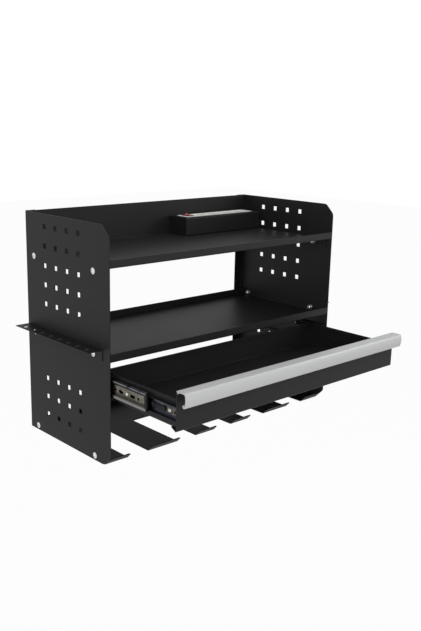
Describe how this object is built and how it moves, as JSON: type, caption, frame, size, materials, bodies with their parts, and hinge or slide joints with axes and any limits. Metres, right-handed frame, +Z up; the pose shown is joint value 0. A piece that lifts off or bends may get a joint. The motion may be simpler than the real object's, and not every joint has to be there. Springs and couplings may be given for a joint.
{
  "type": "wall-mounted tool cabinet",
  "caption": "Open wall cabinet in black folded sheet: perforated sides, shelves, a drawer on ball-bearing slides, slotted hanger for power tools, screwdriver racks and power strip.",
  "frame": {"origin": "centre of the four wall keyholes, on the wall plane", "axes": "+Z up, +Y into the wall, the open front faces -Y, +X to the right seen from the front"},
  "size_m": [0.673, 0.48, 0.45],
  "materials": {
    "black_coat": "fine-grained black powder coat on steel sheet",
    "zinc": "bright zinc plate",
    "rail_zinc": "warm zinc plate on cold-rolled steel",
    "rail_dark": "black zinc plate on cold-rolled steel",
    "rail_steel": "bluish zinc plate on cold-rolled steel",
    "ball_steel": "ground and polished",
    "aluminium": "satin anodised",
    "black_plastic": "satin",
    "pale_plastic": "semi-gloss",
    "grey_plastic": "satin",
    "brass": "plain rolled",
    "red_plastic": "gloss"
  },
  "bodies": {
    "cabinet": {"left_side_panel": "black_coat", "right_side_panel": "black_coat", "top_shelf": "black_coat", "middle_shelf": "black_coat", "bottom_tool_hanger": "black_coat", "left_screwdriver_rack": "black_coat", "right_screwdriver_rack": "black_coat", "frame_bolts": "zinc", "frame_nuts": "zinc", "left_slide_outer": "rail_dark", "right_slide_outer": "rail_dark", "slide_rivets": "black_coat", "strip_body": "black_plastic", "strip_left_cap": "black_plastic", "strip_right_cap": "black_plastic", "strip_face": "pale_plastic", "strip_outlets": "grey_plastic", "strip_bus_bars": "brass", "strip_screws": "zinc", "switch_bezel": "black_plastic"},
    "drawer": {"drawer_box": "black_coat", "drawer_front": "black_coat", "drawer_front_nuts": "zinc", "drawer_handle": "aluminium", "handle_rivets": "zinc", "left_slide_inner": "rail_steel", "right_slide_inner": "rail_steel", "left_slide_lever": "black_plastic", "right_slide_lever": "black_plastic", "slide_screws": "zinc"},
    "left_middle": {"left_slide_middle": "rail_zinc", "left_middle_cap": "black_plastic"},
    "left_outer_bearing": {"left_outer_cage": "zinc", "left_outer_balls": "ball_steel"},
    "left_inner_bearing": {"left_inner_cage": "zinc", "left_inner_balls": "ball_steel"},
    "right_middle": {"right_slide_middle": "rail_zinc", "right_middle_cap": "black_plastic"},
    "right_outer_bearing": {"right_outer_cage": "zinc", "right_outer_balls": "ball_steel"},
    "right_inner_bearing": {"right_inner_cage": "zinc", "right_inner_balls": "ball_steel"},
    "rocker": {"switch_rocker": "red_plastic"}
  },
  "joints": [
    {"name": "drawer_slide", "type": "slide", "parent": "cabinet", "child": "drawer", "axis": [0, -1, 0], "range_m": [-0.179, 0.021]},
    {"name": "left_middle_slide", "type": "slide", "parent": "cabinet", "child": "left_middle", "axis": [0, -1, 0], "range_m": [-0.10293, 0.01208]},
    {"name": "left_outer_cage_slide", "type": "slide", "parent": "cabinet", "child": "left_outer_bearing", "axis": [0, -1, 0], "range_m": [-0.05146, 0.00604]},
    {"name": "left_inner_cage_slide", "type": "slide", "parent": "cabinet", "child": "left_inner_bearing", "axis": [0, -1, 0], "range_m": [-0.14096, 0.01654]},
    {"name": "right_middle_slide", "type": "slide", "parent": "cabinet", "child": "right_middle", "axis": [0, -1, 0], "range_m": [-0.10293, 0.01208]},
    {"name": "right_outer_cage_slide", "type": "slide", "parent": "cabinet", "child": "right_outer_bearing", "axis": [0, -1, 0], "range_m": [-0.05146, 0.00604]},
    {"name": "right_inner_cage_slide", "type": "slide", "parent": "cabinet", "child": "right_inner_bearing", "axis": [0, -1, 0], "range_m": [-0.14096, 0.01654]},
    {"name": "rocker_hinge", "type": "hinge", "parent": "cabinet", "child": "rocker", "pos_m": [0.091, -0.037, 0.19082], "axis": [-1, 0, 0], "range_deg": [0, 16]}
  ],
  "couplings": [
    {"joint": "left_middle_slide", "follows": "drawer_slide", "ratio": 0.575},
    {"joint": "left_outer_cage_slide", "follows": "drawer_slide", "ratio": 0.2875},
    {"joint": "left_inner_cage_slide", "follows": "drawer_slide", "ratio": 0.7875},
    {"joint": "right_middle_slide", "follows": "drawer_slide", "ratio": 0.575},
    {"joint": "right_outer_cage_slide", "follows": "drawer_slide", "ratio": 0.2875},
    {"joint": "right_inner_cage_slide", "follows": "drawer_slide", "ratio": 0.7875}
  ]
}
